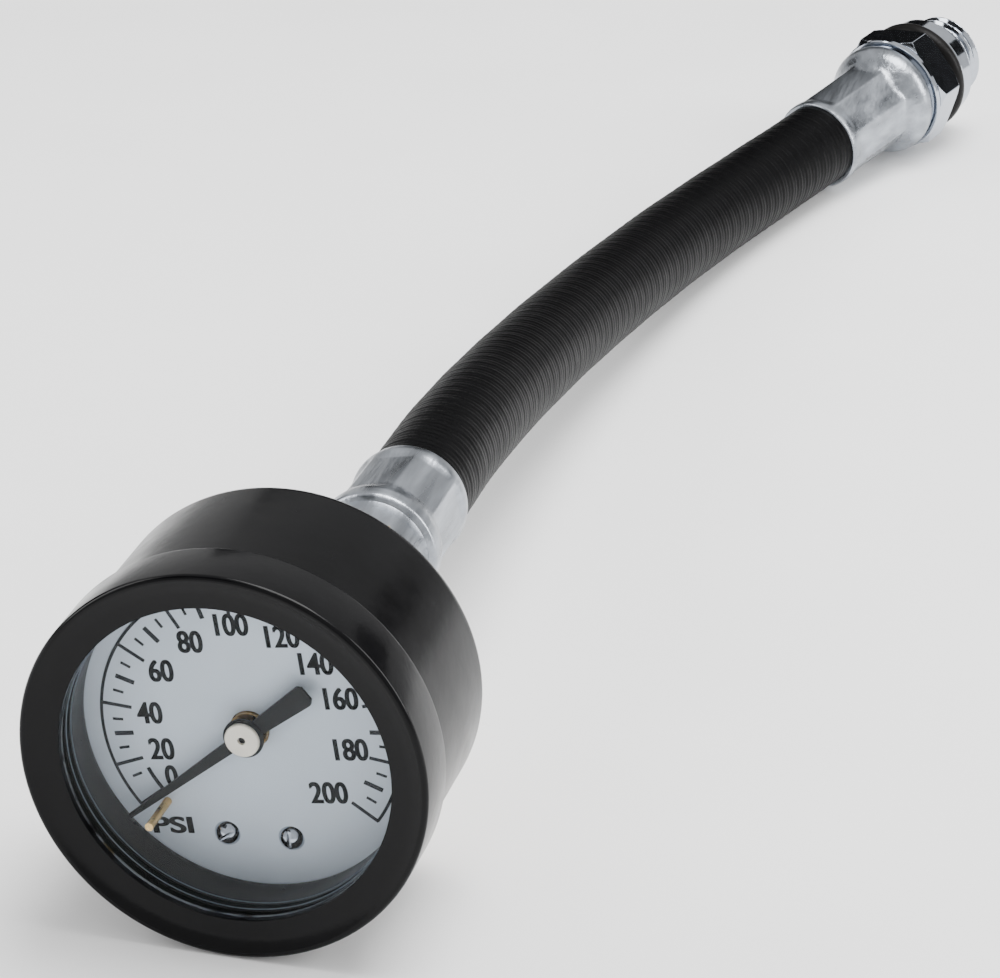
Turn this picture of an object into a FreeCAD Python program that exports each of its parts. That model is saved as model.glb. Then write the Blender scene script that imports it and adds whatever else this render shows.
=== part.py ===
# Dial pressure gauge on a short rubber hose with a threaded end fitting.
# Units mm. +Z up, +Y from the dial toward the hose end, gauge face looks along -Y.
# The origin lies under the middle of the rigid gauge head and hose adapter, on the table.
import FreeCAD, Part
import math
import os
import Sketcher

Vec = FreeCAD.Vector
doc = FreeCAD.newDocument("gauge")
sheet = doc.addObject("Spreadsheet::Sheet", "Sheet")
NODES = {}


class Dim:
    """A size held in the sheet, or a sum or product of such sizes."""

    def __init__(self, value, text):
        self.value = value
        self.text = text

    def __add__(self, other):
        o = as_dim(other)
        return Dim(self.value + o.value, "(%s + %s)" % (self.text, o.text))

    def __sub__(self, other):
        o = as_dim(other)
        return Dim(self.value - o.value, "(%s - %s)" % (self.text, o.text))

    def __mul__(self, other):
        o = as_dim(other)
        return Dim(self.value * o.value, "(%s * %s)" % (self.text, o.text))

    def __neg__(self):
        return Dim(-self.value, "(-1 * %s)" % self.text)


def as_dim(x):
    return x if isinstance(x, Dim) else Dim(float(x), repr(float(x)))


SIZES = {
    # gauge head, depths counted from the front of the bezel
    "axis_height": 21.5, "head_front": -34.0, "bezel_rad": 21.5, "bezel_depth": 6.66,
    "window_rad": 17.5, "lip_recess": 0.84, "lip_thick": 0.8, "bezel_edge": 0.3,
    "case_rad": 20.6, "case_wall": 1.0, "case_front": 2.84, "case_back": 24.7,
    "case_floor": 1.2, "case_round": 2.0, "lens_rad": 19.3, "lens_thick": 1.2,
    "gasket_thick": 0.76, "spacer_bore": 17.6, "spacer_rad": 18.5,
    "dial_front": 9.1, "dial_thick": 0.5, "dial_rad": 18.3,
    "screw_ax": -2.8, "screw_az": -12.55, "screw_bx": 4.15, "screw_bz": -12.1,
    "screw_head": 1.45, "screw_shank": 0.6, "screw_slot": 0.42,
    "stop_x": -9.2, "stop_z": -9.74, "stop_rad": 0.45, "stop_height": 5.6,
    "pointer_front": 7.3, "pointer_thick": 0.4, "pointer_tip": 16.94,
    "pointer_tail": 8.9, "pointer_turn": 221.12, "hub_rad": 2.15, "cap_rad": 1.85,
    "cap_front": 6.44, "bush_rad": 2.0, "arbor_rad": 0.42,
    # movement
    "front_plate": 11.1, "plate_thick": 1.0, "back_plate": 18.1,
    "plate_left": -7.5, "plate_right": 9.5, "plate_low": -14.6, "plate_top": 6.5,
    "gear_module": 0.2, "pinion_teeth": 10, "sector_rad": 8.0,
    "sector_x": 4.5, "sector_z": -7.794, "lever_x": 4.89, "lever_z": -10.567,
    "tip_x": 12.9, "tip_z": -7.5, "tube_mean": 16.8, "tube_wide": 1.6,
    "tube_deep": 3.6, "tube_front": 19.7, "tube_sweep": 262.0, "tube_wall": 0.3,
    # socket, adapter and near ferrule, same depth datum
    "neck_rad": 4.95, "square": 11.0, "square_long": 6.8, "stem_rad": 4.86,
    "stem_end": 40.0, "washer_rad": 7.4, "adapter_front": 33.4, "adapter_hex": 14.0,
    "adapter_hex_end": 45.4, "collar_rad": 5.6, "neck_start": 46.4, "neck_outer": 6.4, "near_start": 51.5, "near_end": 66.1,
    "near_rad": 7.25, "near_mouth": 6.75, "hose_start": 54.1, "barb_end": 68.0,
    # hose and end fitting, lengths counted from the mouth of the far ferrule
    "hose_rad": 6.3, "bore_rad": 3.175, "barb_rad": 3.1, "passage_rad": 1.5,
    "hose_end": 12.1, "crimp_rad": 6.9, "flare_at": 16.1, "far_collar": 8.8,
    "far_collar_end": 20.2, "rim_rad": 9.1, "hex_start": 21.7, "hex_end": 27.0,
    "end_hex": 17.0, "seal_bed": 7.4, "seal_rad": 9.0, "collar_start": 30.0,
    "collar_end": 32.6, "end_collar": 8.2, "thread_start": 33.9, "thread_end": 38.2,
    "thread_rad": 6.5785, "thread_pitch": 1.337, "thread_depth": 0.8,
}
D = {}
for row, (name, size) in enumerate(SIZES.items(), start=1):
    sheet.set("A%d" % row, name)
    sheet.set("B%d" % row, str(size))
    sheet.setAlias("B%d" % row, name)
    D[name] = Dim(float(size), "Sheet." + name)

# Hose centre line: corners of the route, measured in the part's own frame.
HOSE_ROUTE = [
    (0.0, 20.1, 21.5), (0.0, 34.7, 21.5), (-0.8, 52.3, 20.2), (-1.7, 78.8, 16.4),
    (-1.4, 111.6, 11.8), (1.8, 149.6, 7.9), (6.8, 176.9, 6.42), (14.19, 201.575, 6.993),
    (19.097, 213.493, 8.689),
]
END_DIR = (Vec(*HOSE_ROUTE[-1]) - Vec(*HOSE_ROUTE[-2])).normalize()
MOUTH = Vec(*HOSE_ROUTE[-1]) - END_DIR * D["hose_end"].value
FAR_DATUM = 5.0          # the far pieces are drawn 5 mm ahead of the ferrule mouth


def bind(obj, prop, dim):
    obj.setExpression(prop, as_dim(dim).text)


def pin_point(sk, geo, pos, x, y):
    """Tie one sketch point to the sheet by its two distances from the origin."""
    for kind, axis, dim in (("DistanceX", -2, as_dim(x)), ("DistanceY", -1, as_dim(y))):
        if abs(dim.value) < 1e-9:
            sk.addConstraint(Sketcher.Constraint("PointOnObject", geo, pos, axis))
            continue
        if dim.value > 0:
            con = Sketcher.Constraint(kind, -1, 1, geo, pos, dim.value)
        else:
            con = Sketcher.Constraint(kind, geo, pos, -1, 1, -dim.value)
            dim = -dim
        index = sk.addConstraint(con)
        sk.setExpression("Constraints[%d]" % index, dim.text)


def loop(sk, points):
    """A closed chain of lines through points, every corner bound to the sheet."""
    pts = [(as_dim(x), as_dim(y)) for x, y in points]
    first = sk.GeometryCount
    count = len(pts)
    for i in range(count):
        a, b = pts[i], pts[(i + 1) % count]
        sk.addGeometry(Part.LineSegment(Vec(a[0].value, a[1].value), Vec(b[0].value, b[1].value)))
    for i in range(count):
        after = (i + 1) % count
        sk.addConstraint(Sketcher.Constraint("Coincident", first + i, 2, first + after, 1))
    for i, (x, y) in enumerate(pts):
        pin_point(sk, first + i, 1, x, y)


def circle(sk, x, y, rad):
    x, y, rad = as_dim(x), as_dim(y), as_dim(rad)
    geo = sk.addGeometry(Part.Circle(Vec(x.value, y.value), Vec(0, 0, 1), rad.value))
    pin_point(sk, geo, 3, x, y)
    index = sk.addConstraint(Sketcher.Constraint("Radius", geo, rad.value))
    sk.setExpression("Constraints[%d]" % index, rad.text)


def new_body(label):
    body = doc.addObject("PartDesign::Body", label)
    body.Label = label
    NODES[label] = body
    return body


def new_sketch(body, tag):
    sk = body.newObject("Sketcher::SketchObject", body.Label + "_" + tag)
    plane = [f for f in body.Origin.OriginFeatures if f.Role == "XY_Plane"][0]
    sk.AttachmentSupport = [(plane, "")]
    sk.MapMode = "FlatFace"
    return sk


def place_head(obj, turn=0.0):
    """Turned head pieces: local Y runs back from the bezel front along the gauge axis."""
    obj.Placement = FreeCAD.Placement(
        Vec(0, D["head_front"].value, D["axis_height"].value), FreeCAD.Rotation(Vec(0, 1, 0), -turn))
    bind(obj, "Placement.Base.y", D["head_front"])
    bind(obj, "Placement.Base.z", D["axis_height"])


def place_flat(obj, back):
    """Flat head pieces: drawn as seen from the front, thickness toward the viewer."""
    obj.Placement = FreeCAD.Placement(
        Vec(0, D["head_front"].value + back.value, D["axis_height"].value),
        FreeCAD.Rotation(Vec(1, 0, 0), 90))
    bind(obj, "Placement.Base.y", D["head_front"] + back)
    bind(obj, "Placement.Base.z", D["axis_height"])


def place_far(obj):
    """End pieces: local Y runs out along the end fitting's axis."""
    along = FreeCAD.Rotation(Vec(0, 0, 1), -math.degrees(math.atan2(END_DIR.x, END_DIR.y)))
    tilt = FreeCAD.Rotation(Vec(1, 0, 0), math.degrees(math.asin(END_DIR.z)))
    obj.Placement = FreeCAD.Placement(MOUTH - END_DIR * FAR_DATUM, along * tilt)


def turned(label, profile, place=place_head, sweep=360.0, inner=None):
    """A piece of revolution about its local Y axis; profile corners are (radius, along)."""
    body = new_body(label)
    sk = new_sketch(body, "profile")
    loop(sk, profile)
    if inner:
        loop(sk, inner)
    rev = body.newObject("PartDesign::Revolution", label + "_turned")
    rev.Profile = (sk, [""])
    rev.ReferenceAxis = (sk, ["V_Axis"])
    rev.Angle = as_dim(sweep).value
    bind(rev, "Angle", sweep)
    sk.Visibility = False
    body.Tip = rev
    place(body)
    return body


def pad(body, draw, thickness, tag="outline"):
    sk = new_sketch(body, tag)
    draw(sk)
    feat = body.newObject("PartDesign::Pad", body.Label + "_" + tag + "_pad")
    feat.Profile = (sk, [""])
    feat.Length = as_dim(thickness).value
    bind(feat, "Length", thickness)
    sk.Visibility = False
    body.Tip = feat
    return feat


def rounded(rad, along, size, steps=5):
    """Corner of a turned profile eased by short chords round a quarter turn."""
    angles = [math.pi / 2 * i / steps for i in range(steps + 1)]
    return [(rad - size * (1 - math.cos(a)), along - size * (1 - math.sin(a))) for a in angles]


def rect(r0, r1, y0, y1):
    return [(r0, y0), (r1, y0), (r1, y1), (r0, y1)]


def far(station):
    return as_dim(station) + FAR_DATUM


# ---------------------------------------------------------------- head shell
floor_at = D["case_back"] - D["case_floor"]
case = turned("case", [
    (D["neck_rad"], floor_at), (D["case_rad"] - D["case_wall"], floor_at),
    (D["case_rad"] - D["case_wall"], D["case_front"]), (D["case_rad"], D["case_front"]),
] + rounded(D["case_rad"], D["case_back"], D["case_round"]) + [(D["neck_rad"], D["case_back"])])

lip_back = D["lip_recess"] + D["lip_thick"]
bezel = turned("bezel_ring", [
    (D["window_rad"], D["lip_recess"]), (D["bezel_rad"] - 0.9, 0.12), (D["bezel_rad"] - D["bezel_edge"], 0),
    (D["bezel_rad"], D["bezel_edge"]), (D["bezel_rad"], D["bezel_depth"] - 0.25),
    (D["bezel_rad"] - 0.25, D["bezel_depth"]), (D["case_rad"] + 0.04, D["bezel_depth"]),
    (D["case_rad"] + 0.04, D["case_front"]), (D["lens_rad"] + 0.05, D["case_front"]),
    (D["lens_rad"] + 0.05, lip_back), (D["window_rad"], lip_back)])

turned("lens", [
    (0, lip_back - 0.4), (D["window_rad"] - 0.15, lip_back - 0.4), (D["window_rad"] - 0.15, lip_back),
    (D["lens_rad"], lip_back), (D["lens_rad"], lip_back + D["lens_thick"]), (0, lip_back + D["lens_thick"])])
gasket_back = D["case_front"] + D["gasket_thick"]
turned("lens_gasket", rect(D["spacer_rad"] + 0.1, D["case_rad"] - D["case_wall"] - 0.05,
                           D["case_front"], gasket_back))
turned("dial_spacer_ring", [
    (D["spacer_bore"], D["case_front"]), (D["spacer_rad"], D["case_front"]),
    (D["spacer_rad"], gasket_back), (D["case_rad"] - D["case_wall"] - 0.1, gasket_back),
    (D["case_rad"] - D["case_wall"] - 0.1, gasket_back + 0.8), (D["spacer_rad"], gasket_back + 0.8),
    (D["spacer_rad"], D["dial_front"]), (D["spacer_bore"], D["dial_front"])])

# ---------------------------------------------------------------- dial
SCREWS = [(D["screw_ax"], D["screw_az"]), (D["screw_bx"], D["screw_bz"])]
dial_back = D["dial_front"] + D["dial_thick"]


def draw_dial(sk):
    circle(sk, 0, 0, D["dial_rad"])
    circle(sk, 0, 0, D["bush_rad"] + 0.1)
    circle(sk, D["stop_x"], D["stop_z"], D["stop_rad"])
    for x, z in SCREWS:
        circle(sk, x, z, D["screw_shank"] + 0.15)


dial = new_body("dial_plate")
pad(dial, draw_dial, D["dial_thick"])
place_flat(dial, dial_back)

stop = new_body("stop_pin")
pad(stop, lambda sk: circle(sk, D["stop_x"], D["stop_z"], D["stop_rad"]), D["stop_height"] + D["dial_thick"])
place_flat(stop, dial_back)


def head_frame(x, z, back):
    """Flat-piece frame at one place on the head: local Z points at the viewer."""
    spot = Vec(x.value, D["head_front"].value + back.value, D["axis_height"].value + z.value)
    return FreeCAD.Placement(spot, FreeCAD.Rotation(Vec(1, 0, 0), 90))


def solids_of(label, places, make):
    """One node holding the same small piece at several places."""
    copies = []
    for n, (x, z, back) in enumerate(places):
        item = make(n)
        item.Placement = head_frame(x, z, back)
        copies.append(item)
    group = doc.addObject("Part::Compound", label)
    group.Label = label
    group.Links = copies
    NODES[label] = group


def cylinder(name, rad, height, lift=0.0):
    cyl = doc.addObject("Part::Cylinder", name)
    cyl.Radius = as_dim(rad).value
    cyl.Height = as_dim(height).value
    bind(cyl, "Radius", rad)
    bind(cyl, "Height", height)
    cyl.Placement = FreeCAD.Placement(Vec(0, 0, lift), FreeCAD.Rotation())
    return cyl


def screw_parts(n):
    """Domed slotted head with a short shank below it."""
    shank = cylinder("screw_shank_%d" % n, D["screw_shank"], D["dial_thick"])
    dome = doc.addObject("Part::Sphere", "screw_dome_%d" % n)
    dome.Radius = 1.55
    dome.Placement = FreeCAD.Placement(Vec(0, 0, D["dial_thick"].value - 0.65), FreeCAD.Rotation())
    limit = cylinder("screw_limit_%d" % n, D["screw_head"], 1.2, D["dial_thick"].value)
    head = doc.addObject("Part::MultiCommon", "screw_head_%d" % n)
    head.Shapes = [dome, limit]
    slot = doc.addObject("Part::Box", "screw_slot_%d" % n)
    slot.Length, slot.Width, slot.Height = 4.0, D["screw_slot"].value, 1.0
    bind(slot, "Width", D["screw_slot"])
    angle = 35.0 + 60.0 * n
    slot.Placement = FreeCAD.Placement(
        FreeCAD.Rotation(Vec(0, 0, 1), angle).multVec(Vec(-2, -D["screw_slot"].value / 2, 0))
        + Vec(0, 0, D["dial_thick"].value + 0.5), FreeCAD.Rotation(Vec(0, 0, 1), angle))
    whole = doc.addObject("Part::MultiFuse", "screw_whole_%d" % n)
    whole.Shapes = [shank, head]
    cut = doc.addObject("Part::Cut", "dial_screw_%d" % n)
    cut.Base, cut.Tool = whole, slot
    return cut


solids_of("dial_screws", [(x, z, dial_back) for x, z in SCREWS], screw_parts)

# ---------------------------------------------------------------- pointer and its arbor
turned("centre_bush", rect(D["arbor_rad"] + 0.05, D["bush_rad"], D["dial_front"] - 0.5,
                           D["front_plate"]))


def draw_pointer(sk):
    tip, tail = D["pointer_tip"], D["pointer_tail"]
    loop(sk, [(-tail, -0.8), (-tail + 0.5, -1.2), (0, -0.75), (tip, -0.25), (tip, 0.25),
              (0, 0.75), (-tail + 0.5, 1.2), (-tail, 0.8)])


pointer = new_body("pointer")
pad(pointer, draw_pointer, D["pointer_thick"])
place_flat(pointer, D["pointer_front"] + D["pointer_thick"])
pointer.Placement = pointer.Placement * FreeCAD.Placement(
    Vec(), FreeCAD.Rotation(Vec(0, 0, 1), D["pointer_turn"].value))
hub_front = D["cap_front"] + 0.35
turned("pointer_hub", [
    (0, hub_front), (D["hub_rad"] - 0.2, hub_front), (D["hub_rad"], hub_front + 0.2),
    (D["hub_rad"], D["pointer_front"]), (0, D["pointer_front"])])
turned("hub_cap", [
    (D["arbor_rad"], D["cap_front"]), (D["cap_rad"] - 0.12, D["cap_front"]),
    (D["cap_rad"], D["cap_front"] + 0.12), (D["cap_rad"], hub_front), (D["arbor_rad"], hub_front)])

pitch_rad = D["gear_module"] * D["pinion_teeth"] * 0.5
tooth_root = pitch_rad - D["gear_module"] * 1.2
pointer_back = D["pointer_front"] + D["pointer_thick"]
arbor = turned("pinion_arbor", [
    (0, pointer_back), (0.7, pointer_back), (0.7, D["dial_front"] - 0.7),
    (D["arbor_rad"], D["dial_front"] - 0.7),
    (D["arbor_rad"], D["back_plate"] + 0.9), (0, D["back_plate"] + 0.9)])


# ---------------------------------------------------------------- movement plates
PILLARS = [(-6.0, 4.8), (8.0, 4.8), (-6.0, -13.0), (8.0, -13.6)]


def draw_plate(sk):
    left, right, low, top = (D[k] for k in ("plate_left", "plate_right", "plate_low", "plate_top"))
    loop(sk, [(left + 1.5, low), (right - 1.5, low), (right, low + 1.5), (right, top - 1.5),
              (right - 1.5, top), (left + 1.5, top), (left, top - 1.5), (left, low + 1.5)])
    circle(sk, 0, 0, D["arbor_rad"] + 0.05)
    circle(sk, D["sector_x"], D["sector_z"], 0.55)


front_plate = new_body("movement_front_plate")
pad(front_plate, draw_plate, D["plate_thick"])
place_flat(front_plate, D["front_plate"] + D["plate_thick"])
back_plate = new_body("movement_back_plate")
pad(back_plate, draw_plate, D["plate_thick"])
place_flat(back_plate, D["back_plate"] + D["plate_thick"])
solids_of("plate_pillars", [(as_dim(x), as_dim(z), D["back_plate"]) for x, z in PILLARS],
          lambda n: cylinder("pillar_%d" % n, 0.95, D["back_plate"] - D["front_plate"] - D["plate_thick"]))
solids_of("dial_posts", [(x, z, D["front_plate"]) for x, z in SCREWS],
          lambda n: cylinder("post_%d" % n, 1.3, D["front_plate"] - dial_back))


# ---------------------------------------------------------------- gears, link and tube tip
def prism(points, front, back):
    """Solid from a front-view outline (x right, z up) between two head depths."""
    height, base = D["axis_height"].value, D["head_front"].value
    ring = [Vec(x, base + front, height + z) for x, z in points]
    return Part.Face(Part.makePolygon(ring + [ring[0]])).extrude(Vec(0, back - front, 0))


def peg(x, z, rad, front, back):
    base = Vec(x, D["head_front"].value + front, D["axis_height"].value + z)
    return Part.makeCylinder(rad, back - front, base, Vec(0, 1, 0))


def polar(cx, cz, rad, degrees):
    return (cx + rad * math.cos(math.radians(degrees)), cz + rad * math.sin(math.radians(degrees)))


def tooth(cx, cz, pitch, degrees, front, back):
    """Straight-flanked gear tooth on a wheel centred at (cx, cz)."""
    module = D["gear_module"].value
    half = math.degrees(module * math.pi / 4 / pitch)
    low, top = pitch - 1.4 * module, pitch + 0.85 * module
    outline = [(low, -0.9), (pitch, -0.6), (top, -0.22), (top, 0.22), (pitch, 0.6), (low, 0.9)]
    return prism([polar(cx, cz, rad, degrees + k * half) for rad, k in outline], front, back)


def bar(a, b, half, front, back):
    along = Vec(b[0] - a[0], b[1] - a[1], 0).normalize()
    side = Vec(-along.y, along.x, 0) * half
    corners = [(a[0] + side.x, a[1] + side.y), (b[0] + side.x, b[1] + side.y),
               (b[0] - side.x, b[1] - side.y), (a[0] - side.x, a[1] - side.y)]
    ends = peg(a[0], a[1], half, front, back).fuse(peg(b[0], b[1], half, front, back))
    return prism(corners, front, back).fuse(ends)


def shaped(label, shape):
    obj = doc.addObject("Part::Feature", label)
    obj.Label = label
    obj.Shape = shape.removeSplitter()
    NODES[label] = obj


px, pz = D["sector_x"].value, D["sector_z"].value
lever_end = (D["lever_x"].value, D["lever_z"].value)
tip_at = (D["tip_x"].value, D["tip_z"].value)
mesh_turn = math.degrees(math.atan2(-pz, -px))
PINION_STEP = 360.0 / D["pinion_teeth"].value
wheel = peg(0, 0, tooth_root.value + 0.03, 15.0, 17.0)
for n in range(int(D["pinion_teeth"].value)):
    wheel = wheel.fuse(tooth(0, 0, pitch_rad.value, mesh_turn + 180 + PINION_STEP * (n + 0.5), 15.0, 17.0))
shaped("pinion", wheel.cut(peg(0, 0, D["arbor_rad"].value, 14.0, 18.0)))

STEP = math.degrees(math.pi * D["gear_module"].value / D["sector_rad"].value)
root_rad = D["sector_rad"].value - 1.25 * D["gear_module"].value
arc = [polar(px, pz, root_rad, mesh_turn + STEP * k) for k in range(-9, 3)]
quadrant = prism(arc + [(px - 1.0, pz - 0.2), (px + 1.0, pz + 0.2)], 15.3, 16.7)
for k in range(-8, 2):
    quadrant = quadrant.fuse(tooth(px, pz, D["sector_rad"].value, mesh_turn + STEP * k, 15.3, 16.7))
quadrant = quadrant.fuse(peg(px, pz, 1.4, 15.3, 16.7))
quadrant = quadrant.fuse(bar((px, pz), lever_end, 0.8, 15.3, 16.7))
quadrant = quadrant.fuse(peg(lever_end[0], lever_end[1], 0.3, 16.7, 17.6))
shaped("sector_gear", quadrant.cut(peg(px, pz, 0.5, 15.0, 17.0)))
shaped("sector_arbor", peg(px, pz, 0.5, D["front_plate"].value + 0.1, D["back_plate"].value + 0.9))

rod = bar(lever_end, tip_at, 0.85, 17.1, 17.7)
rod = rod.cut(peg(lever_end[0], lever_end[1], 0.42, 17, 18)).cut(peg(tip_at[0], tip_at[1], 0.36, 17, 18))
shaped("link", rod)
tube_end = polar(0, 0, D["tube_mean"].value, -30.0)
tag = bar(tip_at, tube_end, 1.0, 18.0, 19.5).fuse(peg(tip_at[0], tip_at[1], 0.3, 17.2, 18.0))
shaped("tube_tip", tag)

TUBE_START = 232.0
t0, t1 = D["tube_mean"] - D["tube_wide"] * 0.5, D["tube_mean"] + D["tube_wide"] * 0.5
y0, y1 = D["tube_front"], D["tube_front"] + D["tube_deep"]
wall = D["tube_wall"]
turned("bourdon_tube", rect(t0, t1, y0, y1), lambda b: place_head(b, TUBE_START), D["tube_sweep"],
       rect(t0 + wall, t1 - wall, y0 + wall, y1 - wall))

# ---------------------------------------------------------------- socket and hose adapter
def boxed(name, length, width, height, corner, rotation=FreeCAD.Rotation()):
    box = doc.addObject("Part::Box", name)
    for prop, dim in (("Length", length), ("Width", width), ("Height", height)):
        setattr(box, prop, as_dim(dim).value)
        bind(box, prop, dim)
    box.Placement = FreeCAD.Placement(corner, rotation)
    return box


def fused(label, shapes):
    whole = doc.addObject("Part::MultiFuse", label)
    whole.Label = label
    whole.Shapes = shapes
    NODES[label] = whole


def helper(label, profile, place=place_head):
    """A turned piece that is only an ingredient of another node."""
    body = turned(label, profile, place)
    del NODES[label]
    return body


front, height = D["head_front"].value, D["axis_height"].value
bore = D["passage_rad"]
stem = helper("socket_stem", [
    (bore, 19.1), (5.8, 19.1), (5.8, floor_at), (D["neck_rad"] - 0.04, floor_at),
    (D["neck_rad"] - 0.04, D["case_back"] + 0.5),
    (D["neck_rad"], D["case_back"] + D["square_long"]), (D["stem_rad"], D["case_back"] + D["square_long"]),
    (D["stem_rad"], D["stem_end"] - 0.6), (D["stem_rad"] - 0.6, D["stem_end"]), (bore, D["stem_end"])])
half_square = D["square"].value / 2
block = boxed("socket_square", D["square"], D["square_long"], D["square"],
              Vec(-half_square, front + D["case_back"].value, height - half_square))
block_bore = cylinder("socket_square_bore", 3.0, 10.0)
block_bore.Placement = FreeCAD.Placement(Vec(0, front + 24, height), FreeCAD.Rotation(Vec(1, 0, 0), -90))
block_cut = doc.addObject("Part::Cut", "socket_square_cut")
block_cut.Base, block_cut.Tool = block, block_bore
foot_turn = FreeCAD.Rotation(Vec(0, 1, 0), -(TUBE_START - 5))
foot = boxed("socket_foot", 13.0, 3.2, 4.0, Vec(0, front + 19.9, height)
             + foot_turn.multVec(Vec(3.4, 0, -2)), foot_turn)
fused("socket", [stem, block_cut, foot])


def hexed(label, profile, flats, start, end, place, turn=0.0):
    """Turned piece with a bevelled hexagon between two stations."""
    body = helper(label + "_round", profile, place)
    corner = flats * (1 / math.sqrt(3))
    hexagon = doc.addObject("Part::Prism", label + "_prism")
    hexagon.Polygon = 6
    hexagon.Circumradius = corner.value
    hexagon.Height = (end - start).value
    bind(hexagon, "Circumradius", corner)
    bind(hexagon, "Height", end - start)
    hexagon.Placement = body.Placement * FreeCAD.Placement(
        Vec(0, start.value, 0), FreeCAD.Rotation(Vec(1, 0, 0), -90)) * FreeCAD.Placement(
            Vec(), FreeCAD.Rotation(Vec(0, 0, 1), turn))
    flat = flats * 0.48
    limit = helper(label + "_bevel", [
        (D["passage_rad"] + 1.0, start), (flat, start), (corner, start + 0.7),
        (corner, end - 0.7), (flat, end), (D["passage_rad"] + 1.0, end)], place)
    crown = doc.addObject("Part::MultiCommon", label + "_crown")
    crown.Shapes = [hexagon, limit]
    fused(label, [body, crown])


turned("seal_washer", rect(D["stem_rad"] + 0.15, D["washer_rad"], D["case_back"] + D["square_long"],
                           D["adapter_front"]))
barb_tip = D["barb_end"]
adapter_profile = [
    (D["stem_rad"], D["adapter_front"]), (6.4, D["adapter_front"]), (6.4, D["adapter_hex_end"]),
    (D["collar_rad"], D["adapter_hex_end"]), (D["collar_rad"], D["hose_start"]),
    (D["barb_rad"], D["hose_start"]),
    (D["barb_rad"], barb_tip - 1.0), (D["barb_rad"] - 0.5, barb_tip), (bore, barb_tip),
    (bore, D["stem_end"] + 1.0), (D["stem_rad"], D["stem_end"] + 1.0)]
adapter = helper("adapter_round", adapter_profile)
adapter_hex = doc.addObject("Part::Prism", "adapter_prism")
adapter_hex.Polygon = 6
adapter_hex.Circumradius = D["adapter_hex"].value / math.sqrt(3)
adapter_hex.Height = (D["adapter_hex_end"] - D["adapter_front"]).value
bind(adapter_hex, "Circumradius", D["adapter_hex"] * (1 / math.sqrt(3)))
bind(adapter_hex, "Height", D["adapter_hex_end"] - D["adapter_front"])
adapter_hex.Placement = FreeCAD.Placement(
    Vec(0, front + D["adapter_front"].value, height), FreeCAD.Rotation(Vec(1, 0, 0), -90))
core = helper("adapter_core", [
    (6.0, D["adapter_front"]), (6.75, D["adapter_front"]), (8.1, D["adapter_front"] + 0.8),
    (8.1, D["adapter_hex_end"] - 0.8), (6.75, D["adapter_hex_end"]), (6.0, D["adapter_hex_end"])])
adapter_crown = doc.addObject("Part::MultiCommon", "adapter_crown")
adapter_crown.Shapes = [adapter_hex, core]
fused("hose_adapter", [adapter, adapter_crown])

# ---------------------------------------------------------------- hose and its ferrules
turned("near_ferrule", [
    (D["collar_rad"], D["neck_start"]), (D["neck_outer"], D["neck_start"]),
    (D["neck_outer"], D["near_start"]), (D["near_rad"] - 0.4, D["near_start"]),
    (D["near_rad"], D["near_start"] + 0.4), (D["near_rad"], D["near_start"] + 2.2),
    (D["near_rad"] - 0.35, D["near_start"] + 3.0), (D["near_mouth"] + 0.05, D["near_end"] - 1.0),
    (D["near_mouth"], D["near_end"]), (D["hose_rad"], D["near_end"]),
    (D["hose_rad"], D["hose_start"]), (D["collar_rad"], D["hose_start"])])


def hose_wire():
    """Straight runs joined by tangent arcs; prints every bend radius."""
    pts = [Vec(*p) for p in HOSE_ROUTE]
    edges, at = [], pts[0]
    for a, b, c in zip(pts, pts[1:], pts[2:]):
        into, out = (b - a), (c - b)
        half = into.getAngle(out) / 2
        reach = 0.45 * min(into.Length, out.Length)
        start = b - into.normalize() * reach
        end = b + out.normalize() * reach
        radius = reach / math.tan(half)
        print("bend radius", round(radius, 1))
        middle = (out - into).normalize()
        mid = b + middle * (radius / math.cos(half) - radius)
        edges.append(Part.LineSegment(at, start).toShape())
        edges.append(Part.Arc(start, mid, end).toShape())
        at = end
    edges.append(Part.LineSegment(at, pts[-1]).toShape())
    return Part.Wire(edges)


def tube(path, rad):
    ring = Part.Wire([Part.Circle(Vec(*HOSE_ROUTE[0]), Vec(0, 1, 0), rad).toShape()])
    return path.makePipeShell([ring], True, True)


route = hose_wire()
hose_rad, bore_rad = D["hose_rad"].value, D["bore_rad"].value
solid = tube(route, hose_rad).cut(tube(route, bore_rad))
hose = doc.addObject("Part::Feature", "hose")
hose.Shape = solid.Solids[0] if solid.Solids else solid
NODES["hose"] = hose
section = math.pi * (hose_rad ** 2 - bore_rad ** 2)
print("hose length", round(route.Length, 2), "volume ratio", round(hose.Shape.Volume / section / route.Length, 4))

turned("far_ferrule", [
    (D["hose_rad"], far(0)), (6.85, far(0)), (D["crimp_rad"], far(0.5)),
    (D["crimp_rad"] + 0.2, far(D["flare_at"])),
    (8.1, far(D["flare_at"] + 1.0)), (D["far_collar"] - 0.1, far(17.8)), (D["far_collar"], far(18.6)),
    (D["far_collar"] - 0.15, far(19.6)), (8.4, far(D["far_collar_end"])), (5.15, far(D["far_collar_end"])),
    (5.15, far(D["hose_end"])), (D["hose_rad"], far(D["hose_end"]))], place_far)

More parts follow.
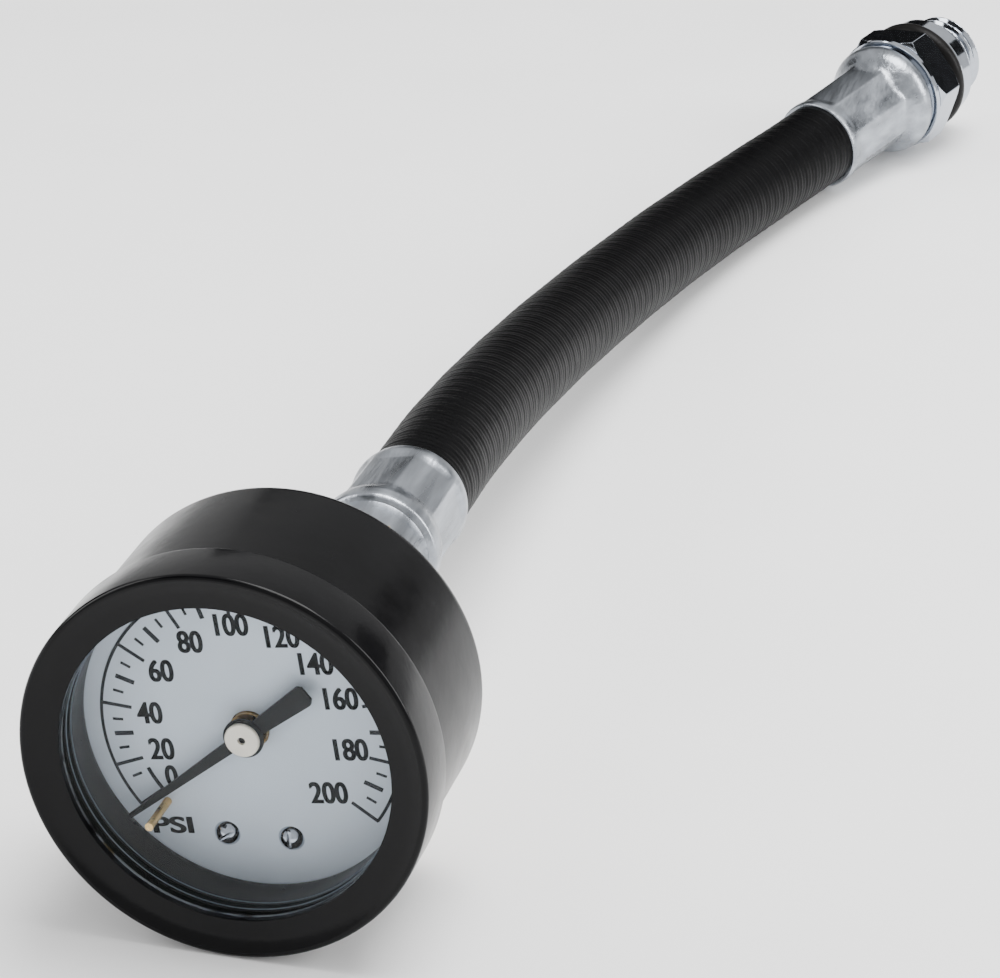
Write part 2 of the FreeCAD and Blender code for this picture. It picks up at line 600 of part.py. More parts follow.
threads = []
turns = int((D["thread_end"].value - D["thread_start"].value - 0.6) / D["thread_pitch"].value)
crest, valley = D["thread_rad"], D["thread_rad"] - D["thread_depth"]
for n in range(turns + 1):
    at = D["thread_start"] + D["thread_pitch"] * n
    threads += [(valley, far(at)), (crest, far(at + 0.42)), (crest, far(at + 0.72)), (valley, far(at + 1.14))]
fitting_profile = [
    (bore, far(-3)), (D["barb_rad"] - 0.5, far(-3)), (D["barb_rad"], far(-2)),
    (D["barb_rad"], far(D["hose_end"])),
    (5.1, far(D["hose_end"])), (5.1, far(D["far_collar_end"])), (8.2, far(D["far_collar_end"])),
    (8.2, far(20.8)),
    (D["rim_rad"], far(20.8)), (D["rim_rad"], far(D["hex_start"])), (8.1, far(D["hex_start"])),
    (8.1, far(D["hex_end"])), (D["seal_bed"], far(D["hex_end"])), (D["seal_bed"], far(D["collar_start"])),
    (D["end_collar"], far(D["collar_start"])), (D["end_collar"], far(D["collar_end"] - 0.3)),
    (D["end_collar"] - 0.3, far(D["collar_end"])), (5.7, far(D["collar_end"])), (5.7, far(D["thread_start"]))
] + threads + [(valley, far(D["thread_end"])), (bore, far(D["thread_end"]))]
hexed("end_fitting", fitting_profile, D["end_hex"], far(D["hex_start"]), far(D["hex_end"]), place_far, 8.5)
turned("end_seal", [
    (D["seal_bed"], far(27.05)), (8.4, far(27.05)), (D["seal_rad"] - 0.15, far(27.5)),
    (D["seal_rad"], far(28.5)),
    (D["seal_rad"] - 0.15, far(29.5)), (8.4, far(29.95)), (D["seal_bed"], far(29.95))], place_far)
turned("thread_seal", [
    (5.7, far(32.65)), (6.9, far(32.65)), (7.2, far(33.25)), (6.9, far(33.85)), (5.7, far(33.85))], place_far)

# ---------------------------------------------------------------- checks and STEP files
doc.recompute()
bad = [o.Label for o in doc.Objects if "Invalid" in o.State or "Error" in o.State]
for label, obj in NODES.items():
    if obj.Shape.isNull() or not obj.Shape.isValid() or not obj.Shape.Solids:
        bad.append(label)
if bad:
    raise RuntimeError("bad pieces: " + ", ".join(bad))
os.makedirs("parts", exist_ok=True)
for label, obj in NODES.items():
    obj.Shape.exportStep("parts/%s.step" % label)
    box = obj.Shape.BoundBox
    print("%-22s solids %d vol %9.2f  x %.2f..%.2f y %.2f..%.2f z %.2f..%.2f" % (
        label, len(obj.Shape.Solids), obj.Shape.Volume, box.XMin, box.XMax, box.YMin, box.YMax, box.ZMin, box.ZMax))
print("end direction", END_DIR, "mouth", MOUTH)
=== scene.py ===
# Looks of the hose-mounted pressure gauge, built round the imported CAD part.
# Lengths are written in millimetres and scaled by MM; lamps, cards and floor are in metres.
import bpy
import bmesh
import math
from mathutils import Matrix, Vector


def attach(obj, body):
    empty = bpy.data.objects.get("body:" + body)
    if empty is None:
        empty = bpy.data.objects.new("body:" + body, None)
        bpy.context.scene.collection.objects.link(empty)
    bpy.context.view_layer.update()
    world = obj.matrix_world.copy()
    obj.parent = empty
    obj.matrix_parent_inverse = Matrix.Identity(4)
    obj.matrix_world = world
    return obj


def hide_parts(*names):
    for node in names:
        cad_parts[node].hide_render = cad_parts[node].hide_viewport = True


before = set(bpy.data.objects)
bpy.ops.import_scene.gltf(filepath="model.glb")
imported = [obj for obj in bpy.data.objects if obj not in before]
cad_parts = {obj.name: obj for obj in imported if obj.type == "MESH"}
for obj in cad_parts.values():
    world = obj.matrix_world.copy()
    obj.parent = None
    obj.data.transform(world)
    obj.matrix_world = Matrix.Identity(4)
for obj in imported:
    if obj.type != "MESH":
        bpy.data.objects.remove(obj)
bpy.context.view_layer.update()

MM = 0.001
FULL_TURN = 2 * math.pi
FRONT = -34.0                        # bezel front plane
AXIS_Z = 21.5                        # height of the gauge axis
DIAL_TURN = math.radians(8.32)       # the dial sits turned in its case
DIAL_FACE = 9.1                      # front of the dial plate, behind the bezel front

HOSE_R = 6.3
HOSE_BORE_R = 4.6
NEAR_GRIP_END = 12.0                 # the hose is plain inside the ferrules
FAR_GRIP_START = 184.5
FAR_GRIP = 12.1                      # length of hose inside the far ferrule
ROUTE = [(0.0, 20.1, 21.5), (0.0, 34.7, 21.5), (-0.8, 52.3, 20.2), (-1.7, 78.8, 16.4),
         (-1.4, 111.6, 11.8), (1.8, 149.6, 7.9), (6.8, 176.9, 6.42), (14.19, 201.575, 6.993),
         (19.097, 213.493, 8.689)]
END_DIR = (Vector(ROUTE[-1]) - Vector(ROUTE[-2])).normalized()
MOUTH = Vector(ROUTE[-1]) - END_DIR * FAR_GRIP
SIDE = END_DIR.cross(Vector((0, 0, 1))).normalized()
LIFT = SIDE.cross(END_DIR).normalized()


# ------------------------------------------------------------------ small helpers
def linked(name, data):
    """New object in the scene."""
    obj = bpy.data.objects.new(name, data)
    bpy.context.collection.objects.link(obj)
    return obj


def mesh_from(obj):
    """Mesh of a curve or text object."""
    bpy.context.view_layer.update()
    return bpy.data.meshes.new_from_object(obj.evaluated_get(bpy.context.evaluated_depsgraph_get()))


def aim(at, target):
    """Rotation that points an object's -Z from one place to another."""
    return (Vector(target) - Vector(at)).to_track_quat("-Z", "Y").to_euler()


def clamp(value):
    return max(0.0, min(1.0, value))


# ------------------------------------------------------------------ camera
CAMERA_AT = (113.129, -339.05, 203.238)
LOOK = Vector((-0.24152, 0.87394, -0.42178))
RIGHT = Vector((0.96386, 0.26641, 0.0001))

cam_data = bpy.data.cameras.new("camera")
cam_data.lens = 134.39
cam_data.sensor_width = 36.0
cam = linked("camera", cam_data)
up = RIGHT.cross(LOOK)
rows = [(RIGHT[i], up[i], -LOOK[i], CAMERA_AT[i] * MM) for i in range(3)]
cam.matrix_world = Matrix(rows + [(0, 0, 0, 1)])
bpy.context.scene.camera = cam


# ------------------------------------------------------------------ hose centre line
def hose_line():
    """Points of the centre line, from the gauge to the end fitting."""
    curve = bpy.data.curves.new("hose_line", "CURVE")
    curve.dimensions = "3D"
    spline = curve.splines.new("NURBS")
    spline.points.add(len(ROUTE) - 1)
    for point, place in zip(spline.points, ROUTE):
        point.co = (place[0] * MM, place[1] * MM, place[2] * MM, 1)
    spline.order_u = 3
    spline.use_endpoint_u = True
    spline.resolution_u = 48
    obj = linked("hose_line", curve)
    points = [v.co / MM for v in mesh_from(obj).vertices]
    if points[0].y > points[-1].y:
        points.reverse()
    bpy.data.objects.remove(obj)
    return points


PATH = hose_line()


# ------------------------------------------------------------------ materials
def shader(tree, kind, **values):
    """New shader node with some of its inputs set; an underscore stands for a space."""
    made = tree.nodes.new(kind)
    for key, value in values.items():
        made.inputs[key.replace("_", " ")].default_value = value
    return made


def material(name, base, rough=0.5, metal=0.0, noise=300.0, spread=0.12, bump=0.05,
             bump_scale=900.0, coat=0.0, rough_spread=0.08, stretch=(1, 1, 1), spec=0.5):
    """Principled material with noise in colour, roughness and a fine bump."""
    mat = bpy.data.materials.new(name)
    mat.use_nodes = True
    tree = mat.node_tree
    link = tree.links.new
    bsdf = tree.nodes["Principled BSDF"]
    bsdf.inputs["Metallic"].default_value = metal
    bsdf.inputs["Coat Weight"].default_value = coat
    bsdf.inputs["Specular IOR Level"].default_value = spec
    bsdf.inputs["Coat Roughness"].default_value = 0.06

    coord = tree.nodes.new("ShaderNodeTexCoord")
    mapping = shader(tree, "ShaderNodeMapping", Scale=stretch)
    link(coord.outputs["Object"], mapping.inputs["Vector"])
    blotches = shader(tree, "ShaderNodeTexNoise", Scale=noise, Detail=6.0)
    link(mapping.outputs["Vector"], blotches.inputs["Vector"])

    ramp = tree.nodes.new("ShaderNodeValToRGB")
    dark, light = ramp.color_ramp.elements
    dark.position = 0.3
    light.position = 0.7
    dark.color = [c * (1 - spread) for c in base] + [1]
    light.color = [min(1.0, c * (1 + spread)) for c in base] + [1]
    link(blotches.outputs["Fac"], ramp.inputs["Fac"])
    link(ramp.outputs["Color"], bsdf.inputs["Base Color"])

    rough_map = shader(tree, "ShaderNodeMapRange", To_Min=max(0.02, rough - rough_spread),
                       To_Max=min(1.0, rough + rough_spread))
    link(blotches.outputs["Fac"], rough_map.inputs["Value"])
    link(rough_map.outputs["Result"], bsdf.inputs["Roughness"])

    grain = shader(tree, "ShaderNodeTexNoise", Scale=bump_scale, Detail=4.0)
    link(mapping.outputs["Vector"], grain.inputs["Vector"])
    bumper = shader(tree, "ShaderNodeBump", Strength=bump, Distance=0.0002)
    link(grain.outputs["Fac"], bumper.inputs["Height"])
    link(bumper.outputs["Normal"], bsdf.inputs["Normal"])
    return mat


def lens_material():
    """Clear lens: see-through, with a weakened gloss so that the dial stays readable."""
    mat = bpy.data.materials.new("clear_lens")
    mat.use_nodes = True
    tree = mat.node_tree
    link = tree.links.new
    tree.nodes.remove(tree.nodes["Principled BSDF"])
    clear = shader(tree, "ShaderNodeBsdfTransparent", Color=(0.96, 0.97, 0.98, 1))
    gloss = shader(tree, "ShaderNodeBsdfGlossy", Roughness=0.03)
    ripple = shader(tree, "ShaderNodeTexNoise", Scale=180.0)
    bump = shader(tree, "ShaderNodeBump", Strength=0.02)
    link(ripple.outputs["Fac"], bump.inputs["Height"])
    link(bump.outputs["Normal"], gloss.inputs["Normal"])
    fresnel = shader(tree, "ShaderNodeFresnel", IOR=1.45)
    weaken = tree.nodes.new("ShaderNodeMath")
    weaken.operation = "MULTIPLY"
    weaken.inputs[1].default_value = 0.22
    mix = tree.nodes.new("ShaderNodeMixShader")
    link(fresnel.outputs["Fac"], weaken.inputs[0])
    link(weaken.outputs["Value"], mix.inputs["Fac"])
    link(clear.outputs["BSDF"], mix.inputs[1])
    link(gloss.outputs["BSDF"], mix.inputs[2])
    link(mix.outputs["Shader"], tree.nodes["Material Output"].inputs["Surface"])
    return mat


M = {
    "paint": material("gloss_black_paint", (0.0018, 0.0018, 0.0022), rough=0.2, noise=350,
                      spread=0.25, bump=0.10, bump_scale=700, coat=0.02, spec=0.12),
    "case_paint": material("case_black_paint", (0.0012, 0.0012, 0.0015), rough=0.24, noise=350,
                           spread=0.25, bump=0.08, bump_scale=600, coat=0.01, spec=0.09),
    "rubber": material("hose_rubber", (0.0008, 0.0008, 0.0010), rough=0.42, noise=500,
                       spread=0.3, bump=0.3, bump_scale=2600, spec=0.045),
    "seal": material("seal_rubber", (0.0025, 0.0021, 0.002), rough=0.4, noise=600,
                     spread=0.25, bump=0.2, bump_scale=2400, spec=0.12),
    "dial": material("dial_enamel", (0.70, 0.77, 0.84), noise=220, spread=0.03, bump=0.04,
                     bump_scale=1500),
    "ink": material("dial_ink", (0.014, 0.017, 0.021), rough=0.6, noise=900, spread=0.2, spec=0.2),
    "pointer": material("pointer_paint", (0.006, 0.007, 0.008), rough=0.42, noise=600,
                        spread=0.2, bump=0.1, spec=0.12),
    "cream": material("cap_cream", (0.95, 0.88, 0.74), rough=0.3, noise=500, spread=0.05, coat=0.3),
    "brass": material("brass", (0.70, 0.47, 0.20), rough=0.27, metal=1.0, noise=600, bump=0.10,
                      bump_scale=1400),
    "copper": material("copper", (0.72, 0.38, 0.24), rough=0.32, metal=1.0, noise=600, bump=0.10),
    "chrome": material("bright_chrome", (0.44, 0.47, 0.52), rough=0.10, metal=1.0, noise=700,
                       spread=0.05, bump_scale=500, rough_spread=0.04),
    "alu": material("ferrule_aluminium", (0.29, 0.31, 0.34), rough=0.30, metal=1.0, noise=420,
                    spread=0.35, bump=0.45, bump_scale=1300, rough_spread=0.12,
                    stretch=(1, 0.15, 1)),
    "ring": material("spacer_black", (0.0012, 0.0012, 0.0015), rough=0.3, noise=500,
                     spread=0.2, bump=0.02, spec=0.1),
    # grey, glossy lens edge: painted reflection, standing for the bright lines that the clear lens's
    # stepped edge reflects
    "lens_rim_painted_glint": material("lens_rim_painted_glint", (0.20, 0.23, 0.27), rough=0.12, noise=500, spread=0.1,
                          bump=0.02, coat=0.4, spec=0.9),
    "glass": lens_material(),
}

# every CAD node not named here is brass
NODE_MATERIAL = {
    "case": "case_paint", "bezel_ring": "paint", "lens": "glass", "lens_gasket": "seal",
    "dial_spacer_ring": "ring", "dial_plate": "dial", "dial_screws": "chrome",
    "pointer": "pointer", "pointer_hub": "pointer", "hub_cap": "cream",
    "seal_washer": "copper", "near_ferrule": "alu", "hose": "rubber", "far_ferrule": "alu",
    "end_fitting": "chrome", "end_seal": "seal", "thread_seal": "seal"}
for name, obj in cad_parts.items():
    obj.data.materials.clear()
    obj.data.materials.append(M[NODE_MATERIAL.get(name, "brass")])


# ------------------------------------------------------------------ mesh helpers
def head_point(r, a, depth):
    """Point on the gauge head: radius, angle seen from the front, depth behind the bezel front."""
    return Vector((r * math.cos(a), FRONT + depth, AXIS_Z + r * math.sin(a))) * MM


def end_point(r, a, station):
    """Point on the end fitting: radius, angle, station from the ferrule mouth."""
    return (MOUTH + END_DIR * station + SIDE * (r * math.cos(a)) + LIFT * (r * math.sin(a))) * MM


def grid_mesh(name, rows, mat, closed_rows=False, angle=35):
    """Smooth mesh from rings of points; every ring closes on itself, and edges past angle are sharp."""
    n, m = len(rows[0]), len(rows)
    faces = []
    for j in range(m if closed_rows else m - 1):
        k = (j + 1) % m
        for i in range(n):
            following = (i + 1) % n
            faces.append((j * n + i, j * n + following, k * n + following, k * n + i))
    mesh = bpy.data.meshes.new(name)
    mesh.from_pydata([p for row in rows for p in row], [], faces)
    bm = bmesh.new()
    bm.from_mesh(mesh)
    bmesh.ops.recalc_face_normals(bm, faces=bm.faces)
    bm.to_mesh(mesh)
    bm.free()
    obj = linked(name, mesh)
    mesh.materials.append(mat)
    for poly in mesh.polygons:
        poly.use_smooth = True
    mesh.set_sharp_from_angle(angle=math.radians(angle))
    return obj


def lathe(name, profile, place, mat, count, radius_at=None, angle=35):
    """Closed ring of revolution; radius_at(r, angle, along) can dent or facet it."""
    rows = []
    for r, y in profile:
        turns = [FULL_TURN * i / count for i in range(count)]
        rows.append([place(radius_at(r, a, y) if radius_at else r, a, y) for a in turns])
    return grid_mesh(name, rows, mat, closed_rows=True, angle=angle)


def arc_points(cr, cy, size, a0, a1, steps):
    """Points of an arc in a profile, angles in degrees."""
    turns = [math.radians(a0 + (a1 - a0) * i / steps) for i in range(steps + 1)]
    return [(cr + size * math.cos(a), cy + size * math.sin(a)) for a in turns]


def refine(profile, step=0.5):
    """The same profile with extra points, about a step apart."""
    out = []
    for (r0, y0), (r1, y1) in zip(profile, profile[1:]):
        n = max(1, int(math.hypot(r1 - r0, y1 - y0) / step))
        out += [(r0 + (r1 - r0) * i / n, y0 + (y1 - y0) * i / n) for i in range(n)]
    return out + [profile[-1]]


# ------------------------------------------------------------------ bezel, case and spacer
HEAD_COUNT = 256
WINDOW_R = 17.5

bezel_profile = (
    [(WINDOW_R, 1.64), (WINDOW_R, 0.98)] + arc_points(17.65, 0.98, 0.15, 180, 270, 4)
    + [(19.2, 0.62), (20.6, 0.2)] + arc_points(21.0, 0.5, 0.5, 250, 360, 8)
    + arc_points(21.15, 6.31, 0.35, 0, 90, 5)
    + [(20.62, 6.66), (20.62, 2.84), (19.35, 2.84), (19.35, 1.64)])
bezel = lathe("bezel_shell", bezel_profile, head_point, M["paint"], HEAD_COUNT)

case_profile = (
    [(19.6, 2.9), (20.6, 2.9), (20.6, 8.0), (20.6, 14.0)] + arc_points(18.6, 22.7, 2.0, 0, 90, 12)
    + [(12.0, 24.7), (5.0, 24.7), (5.0, 23.5), (19.0, 23.5), (19.6, 22.9)])
case = lathe("case_shell", case_profile, head_point, M["case_paint"], HEAD_COUNT)

spacer_profile = [
    (17.7, 2.9), (18.45, 2.9), (18.45, 3.65), (19.4, 3.65), (19.4, 4.35), (18.45, 4.35),
    (18.45, 9.06), (17.95, 9.06), (17.8, 8.7), (17.7, 8.0), (17.7, 4.4), (17.62, 4.2), (17.7, 4.0)]
spacer = lathe("spacer_shell", spacer_profile, head_point, M["ring"], HEAD_COUNT)


def lens_rim_painted_glint(name, y):
    """Thin line inside the window, where the polished, stepped edge of the lens shows; its grey gloss
    is painted reflection, standing for the bright lines that this edge reflects.
    """
    r = WINDOW_R
    profile = [(r, y), (r + 0.1, y), (r + 0.1, y + 0.07), (r + 0.05, y + 0.11), (r, y + 0.07)]
    return lathe(name, profile, head_point, M["lens_rim_painted_glint"], HEAD_COUNT)


# two thin rings of painted reflection along the lens's stepped edge
lens_rim_glints = [lens_rim_painted_glint("lens_rim_glint_front", 3.15), lens_rim_painted_glint("lens_rim_glint_back", 4.45)]

# ------------------------------------------------------------------ dial print
INK_Y = DIAL_FACE - 0.03             # the print stands just proud of the plate
ZERO_ANGLE = 212.6                   # end of the scale, by the stop pin
RIM_R = 16.0                         # middle of the outer line
TICK_END = 16.1
TICK_START = 12.74                   # inner end of a numbered tick
LABELS = [("0", -9.55, -5.52), ("20", -10.07, -2.39), ("40", -10.61, 1.75), ("60", -8.5, 6.53),
          ("80", -4.74, 9.77), ("100", -0.19, 11.63), ("120", 5.04, 10.25), ("140", 8.14, 7.21),
          ("160", 10.15, 3.28), ("180", 10.27, -2.48), ("200", 7.3, -7.41), ("PSI", -10.45, -11.2)]
NUMERAL_HEIGHT, UNIT_HEIGHT = 2.45, 1.9
NUMERAL_WIDTH, UNIT_WIDTH = 0.80, 1.5
CAPITAL_SHARE = 0.72                 # height of a capital in a font of size 1
BOLD_SHIFT = 0.07                    # each label is printed twice, this far to either side


def dial_spot(u, v):
    """Place on the dial: across and up as printed, before the dial is turned."""
    c, s = math.cos(DIAL_TURN), math.sin(DIAL_TURN)
    return Vector(((u * c - v * s) * MM, (FRONT + INK_Y) * MM, (AXIS_Z + u * s + v * c) * MM))


def arc_quads(r, width, a0, a1):
    """Quads of a curved line, angles in degrees."""
    steps = max(4, int(abs(a1 - a0) / 1.5))
    r0, r1 = r - width / 2, r + width / 2
    quads = []
    for i in range(steps):
        p, q = (math.radians(a0 + (a1 - a0) * k / steps) for k in (i, i + 1))
        quads.append([(r0 * math.cos(p), r0 * math.sin(p)), (r1 * math.cos(p), r1 * math.sin(p)),
                      (r1 * math.cos(q), r1 * math.sin(q)), (r0 * math.cos(q), r0 * math.sin(q))])
    return quads


def tick_quad(angle, r0, r1, width):
    """Quad of one straight tick, angle in degrees."""
    a = math.radians(angle)
    dx, dy = -math.sin(a) * width / 2, math.cos(a) * width / 2
    c, s = math.cos(a), math.sin(a)
    return [(r0 * c - dx, r0 * s - dy), (r1 * c - dx, r1 * s - dy),
            (r1 * c + dx, r1 * s + dy), (r0 * c + dx, r0 * s + dy)]


def scale_angle(psi):
    return 221.0 - 1.31 * psi


def psi_tick(psi):
    if psi % 20 == 0:
        return tick_quad(scale_angle(psi), TICK_START, TICK_END, 0.38)
    if psi % 10 == 0:
        return tick_quad(scale_angle(psi), 12.82, 14.92, 0.50)
    return tick_quad(scale_angle(psi), 13.72, 14.87, 0.30)


def dial_scale():
    """The scale's lines and ticks, as one thin mesh."""
    quads = arc_quads(RIM_R, 0.33, ZERO_ANGLE, scale_angle(200))
    quads += arc_quads(TICK_START, 0.42, ZERO_ANGLE, 200.2)
    quads.append(tick_quad(ZERO_ANGLE, 12.6, TICK_END, 0.34))
    quads += [psi_tick(psi) for psi in range(15, 201, 5)]
    mesh = bpy.data.meshes.new("dial_scale")
    faces = [tuple(range(4 * i, 4 * i + 4)) for i in range(len(quads))]
    mesh.from_pydata([dial_spot(u, v) for quad in quads for u, v in quad], [], faces)
    obj = linked("dial_scale", mesh)
    mesh.materials.append(M["ink"])
    obj.modifiers.new("thickness", "SOLIDIFY").thickness = 0.00004
    return obj


def dial_label(text, u, v, number):
    """One stroke of a printed label, turned with the dial."""
    is_unit = text == "PSI"
    data = bpy.data.curves.new("numeral_" + text, "FONT")
    data.body = text
    data.size = (UNIT_HEIGHT if is_unit else NUMERAL_HEIGHT) / CAPITAL_SHARE * MM
    data.align_x, data.align_y = "CENTER", "CENTER"
    data.offset = 0.00005
    data.extrude = 0.00002
    label = linked("numeral_" + text, data)
    turn = Matrix.Rotation(-DIAL_TURN, 4, "Y") @ Matrix.Rotation(math.pi / 2, 4, "X")
    widen = Matrix.Diagonal((UNIT_WIDTH if is_unit else NUMERAL_WIDTH, 1, 1, 1))
    label.matrix_world = Matrix.Translation(dial_spot(u, v)) @ turn @ widen
    mesh = mesh_from(label)
    mesh.transform(label.matrix_world)
    bpy.data.objects.remove(label)
    mesh.materials.clear()
    mesh.materials.append(M["ink"])
    return linked("print_%s_%d" % (text, number), mesh)


strokes = [(text, u + shift, v) for text, u, v in LABELS for shift in (-BOLD_SHIFT, BOLD_SHIFT)]
prints = [dial_scale()]
prints += [dial_label(text, u, v, number) for number, (text, u, v) in enumerate(strokes, 1)]


# ------------------------------------------------------------------ hose with wrapped cover
HOSE_COUNT = 120                     # points round the hose
HOSE_STEP = 0.16                     # distance between rings along it
HOSE_TURNS = [FULL_TURN * k / HOSE_COUNT for k in range(HOSE_COUNT)]


def frames(path):
    """Sideways axes carried smoothly along the centre line."""
    out, side = [], Vector((1, 0, 0))
    for i in range(len(path)):
        tangent = (path[min(i + 1, len(path) - 1)] - path[max(i - 1, 0)]).normalized()
        side = (side - tangent * side.dot(tangent)).normalized()
        out.append((side.copy(), tangent.cross(side)))
    return out


def resample(path, step):
    """Points a step apart along the path."""
    out, carry = [path[0]], 0.0
    for a, b in zip(path, path[1:]):
        length = (b - a).length
        at = step - carry
        while at <= length:
            out.append(a.lerp(b, at / length))
            at += step
        carry = length - (at - step)
    return out


def cover_radius(along, a):
    """Radius of the cover: two crossing wraps and a slow wander, no higher than the grips allow."""
    wrap = math.sin(2 * math.pi * along + a)
    coarse = math.sin(2 * math.pi * (along / 2.7) - a)
    wander = math.sin(along * 0.31 + 2.0 * math.sin(a + along * 0.05))
    r = HOSE_R - 0.05 + 0.026 * wrap + 0.026 * coarse + 0.02 * wander
    gripped = along < NEAR_GRIP_END or along > FAR_GRIP_START
    return min(r, HOSE_R - 0.02) if gripped else r


def hose_ring(point, axes, radii):
    """Ring of points round the centre line."""
    side, other = axes
    return [(point + side * (r * math.cos(a)) + other * (r * math.sin(a))) * MM
            for r, a in zip(radii, HOSE_TURNS)]


fine_path = resample(PATH, HOSE_STEP)
fine_axes = frames(fine_path)
bore_radii = [HOSE_BORE_R] * HOSE_COUNT
hose_rows = [hose_ring(fine_path[0], fine_axes[0], bore_radii)]
for i, (point, axes) in enumerate(zip(fine_path, fine_axes)):
    hose_rows.append(hose_ring(point, axes, [cover_radius(i * HOSE_STEP, a) for a in HOSE_TURNS]))
hose_rows.append(hose_ring(fine_path[-1], fine_axes[-1], bore_radii))
hose = grid_mesh("hose_cover", hose_rows, M["rubber"], angle=60)

# ------------------------------------------------------------------ crimped ferrules
FERRULE_COUNT = 192
CRIMP_FACES = 8
CRIMP_FADE = 0.8                     # length over which the crimp starts and stops
CRIMP_FLATNESS = 0.8                 # 1 would press the faces fully flat


def crimp(low, high, turn):
    """Radius with flattened crimp faces between two stations."""
    sector = math.pi / CRIMP_FACES

    def radius_at(r, a, y):
        fade = clamp((y - low) / CRIMP_FADE) * clamp((high - y) / CRIMP_FADE)
        if r < 6.5 or fade <= 0:     # the bore stays round
            return r
        off = (a + turn) % (2 * sector) - sector
        flat = r * math.cos(sector) / math.cos(off)
        return r + fade * (flat - r) * CRIMP_FLATNESS
    return radius_at


near_profile = refine([
    (5.68, 46.3), (6.0, 46.3), (6.3, 46.6), (6.4, 47.4), (6.4, 50.6), (6.55, 51.2), (6.9, 51.4),
    (7.15, 51.6), (7.25, 51.9), (7.25, 53.6), (7.1, 54.0), (7.02, 55.0), (6.95, 60.0),
    (6.88, 65.4), (6.75, 66.1), (6.4, 66.1), (6.32, 65.8), (6.32, 54.1), (5.68, 54.1)])
near = lathe("near_ferrule_shell", near_profile, head_point, M["alu"], FERRULE_COUNT,
             crimp(54.6, 64.6, 0.2))
far_profile = refine([
    (6.33, 0.0), (6.75, 0.0), (6.9, 0.15), (6.95, 0.5), (7.0, 7.0), (7.08, 15.6), (7.5, 16.2),
    (8.05, 16.9), (8.45, 17.5), (8.7, 18.2), (8.78, 18.8), (8.74, 19.4), (8.6, 19.9), (8.4, 20.2),
    (5.2, 20.2), (5.2, FAR_GRIP), (6.33, FAR_GRIP)])
far_ferrule = lathe("far_ferrule_shell", far_profile, end_point, M["alu"], FERRULE_COUNT,
                    crimp(1.4, 15.7, 0.35))

# ------------------------------------------------------------------ end fitting
HEX_TURN = math.radians(8.5)
HEX_START, HEX_END = 21.7, 27.0
HEX_HALF = 8.5                       # half of 17 mm across flats
PASSAGE_R = 1.5
THREAD_START, THREAD_END = 33.9, 38.2
THREAD_FOOT = THREAD_START - 0.05    # the thread's mesh starts just inside the collar
THREAD_PITCH = 1.337
THREAD_ROOT_R, THREAD_RISE = 5.8, 0.77
THREAD_COUNT, THREAD_STEPS = 192, 80


def hex_radius(r, a, y):
    """Hexagon cut from the profile, which chamfers its corners at both ends."""
    if not (HEX_START <= y <= HEX_END) or r < 8.3:
        return r
    off = (a - HEX_TURN) % (math.pi / 3) - math.pi / 6
    return min(HEX_HALF / math.cos(off), r)


def thread_radius(y, a):
    """Radius on the helix, which runs out at both ends. It winds left-handed; a real one would not."""
    phase = ((y - THREAD_START) / THREAD_PITCH - a / (2 * math.pi)) % 1.0
    tooth = clamp(2.6 * (0.5 - abs(phase - 0.5)) - 0.15)
    ease = clamp((THREAD_END - y) / 0.5) * clamp((y - THREAD_START) / 0.4)
    return THREAD_ROOT_R + THREAD_RISE * tooth * ease


shank = [(PASSAGE_R, -2.9), (2.6, -2.9), (3.1, -2.0), (3.1, FAR_GRIP), (5.1, FAR_GRIP), (5.1, 20.2),
         (8.2, 20.2), (8.2, 20.8), (8.95, 20.8), (9.1, 20.95), (9.1, 21.5), (8.95, 21.68),
         (8.45, HEX_START)]
hexagon = [(8.45, HEX_START), (9.0, 21.85), (9.4, 22.1), (9.8, 22.45), (9.82, 24.3),
           (9.8, 26.25), (9.4, 26.6), (9.0, 26.85), (8.45, HEX_END)]
collar = [(8.45, HEX_END), (7.4, HEX_END), (7.4, 30.0), (8.0, 30.0), (8.2, 30.2), (8.2, 32.3),
          (8.0, 32.6), (5.75, 32.6), (5.75, THREAD_START)]
end_profile = (refine(shank, 0.6)[:-1] + refine(hexagon, 0.12)[:-1] + refine(collar)
               + [(PASSAGE_R, THREAD_START)])
end_core = lathe("end_fitting_body", end_profile, end_point, M["chrome"], 480, hex_radius, 14)

thread_turns = [FULL_TURN * i / THREAD_COUNT for i in range(THREAD_COUNT)]
thread_rows = []
for j in range(THREAD_STEPS + 1):
    y = THREAD_FOOT + (THREAD_END - THREAD_FOOT) * j / THREAD_STEPS
    thread_rows.append([end_point(thread_radius(y, a), a, y) for a in thread_turns])
for y in (THREAD_END, THREAD_FOOT):
    thread_rows.append([end_point(PASSAGE_R, a, y) for a in thread_turns])
thread = grid_mesh("end_thread", thread_rows, M["chrome"], closed_rows=True, angle=50)

seal_profile = [(7.4, 27.1)] + arc_points(7.55, 28.5, 1.42, -75, 75, 14) + [(7.4, 29.9)]
seal = lathe("end_o_ring", seal_profile, end_point, M["seal"], 192)

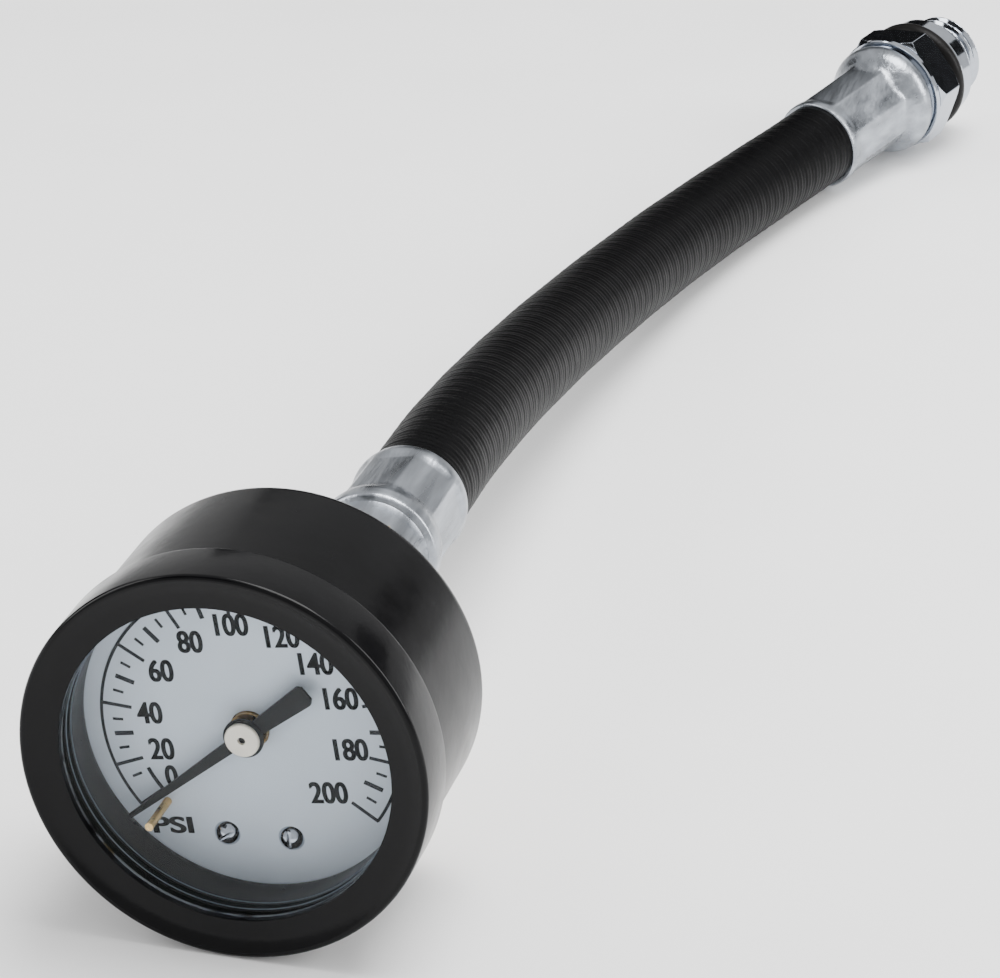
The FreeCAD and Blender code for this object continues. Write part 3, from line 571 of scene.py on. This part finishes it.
# ------------------------------------------------------------------ who rides on what
SHELLS = (
    (bezel, "bezel_ring", "black_paint"), (spacer, "dial_spacer_ring", "charcoal_paint"),
    (case, "case", "black_paint"), (hose, "hose", "black_rubber"),
    (near, "near_ferrule", "ferrule_aluminium"), (far_ferrule, "far_ferrule", "ferrule_aluminium"),
    (end_core, "end_fitting", "bright_chrome"), (seal, "end_seal", "black_rubber"))
for piece, node, slot_name in SHELLS:
    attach(piece, "gauge_body")
    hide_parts(node)
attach(thread, "gauge_body")
for piece in lens_rim_glints:
    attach(piece, "gauge_body")
for piece in prints:
    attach(piece, "gauge_body")

path_m = [[c * MM for c in p] for p in resample(PATH, 1.0)] + [[c * MM for c in PATH[-1]]]

# ------------------------------------------------------------------ floor and soft studio light
bpy.ops.mesh.primitive_plane_add(size=6, location=(0, 0, -0.0001))
floor = bpy.context.object
floor.name = "floor"
floor.data.materials.append(material("floor_pale", (0.93, 0.93, 0.93), rough=0.6, noise=30,
                                     spread=0.01, bump=0.01))
world = bpy.data.worlds.new("studio")
bpy.context.scene.world = world
world.use_nodes = True
background = world.node_tree.nodes["Background"]
background.inputs["Color"].default_value = (1, 1, 1, 1)
background.inputs["Strength"].default_value = 0.95


def lamp(name, at, target, size, power):
    """Rectangular area lamp aimed at a point."""
    data = bpy.data.lights.new(name, "AREA")
    data.shape = "RECTANGLE"
    data.size, data.size_y = size
    data.energy = power
    obj = linked(name, data)
    obj.location = at
    obj.rotation_euler = aim(at, target)
    return obj


def card(name, at, size, target):
    """Dark card that the chrome reflects, hidden from the camera so it never blocks another view."""
    bpy.ops.mesh.primitive_plane_add(size=1, location=at)
    obj = bpy.context.object
    obj.name = name
    obj.scale = (size[0], size[1], 1)
    obj.rotation_euler = aim(at, target)
    obj.data.materials.append(M["ring"])
    obj.visible_camera = False
    return obj


lamps = [lamp("key_top", (0.15, 0.15, 0.75), (0, 0.08, 0), (0.5, 0.5), 10.0),
         lamp("fill_left", (-0.6, -0.1, 0.35), (0, 0.05, 0.02), (0.3, 0.5), 3.0),
         lamp("right_strip", (0.6, 0.25, 0.3), (0.01, 0.15, 0.01), (0.2, 0.5), 4.0)]
cards = [card("dark_card_top", (-0.28, -0.28, 0.42), (0.45, 0.28), (0.02, 0.2, 0.01)),
         card("dark_card_left", (-0.45, 0.25, 0.14), (0.5, 0.22), (0.02, 0.22, 0.01)),
         card("dark_card_back", (-0.075, 0.534, 0.13), (0.30, 0.20), (0.025, 0.22, 0.01)),
         card("dark_card_right", (0.28, 0.38, 0.18), (0.16, 0.12), (0.025, 0.22, 0.01))]
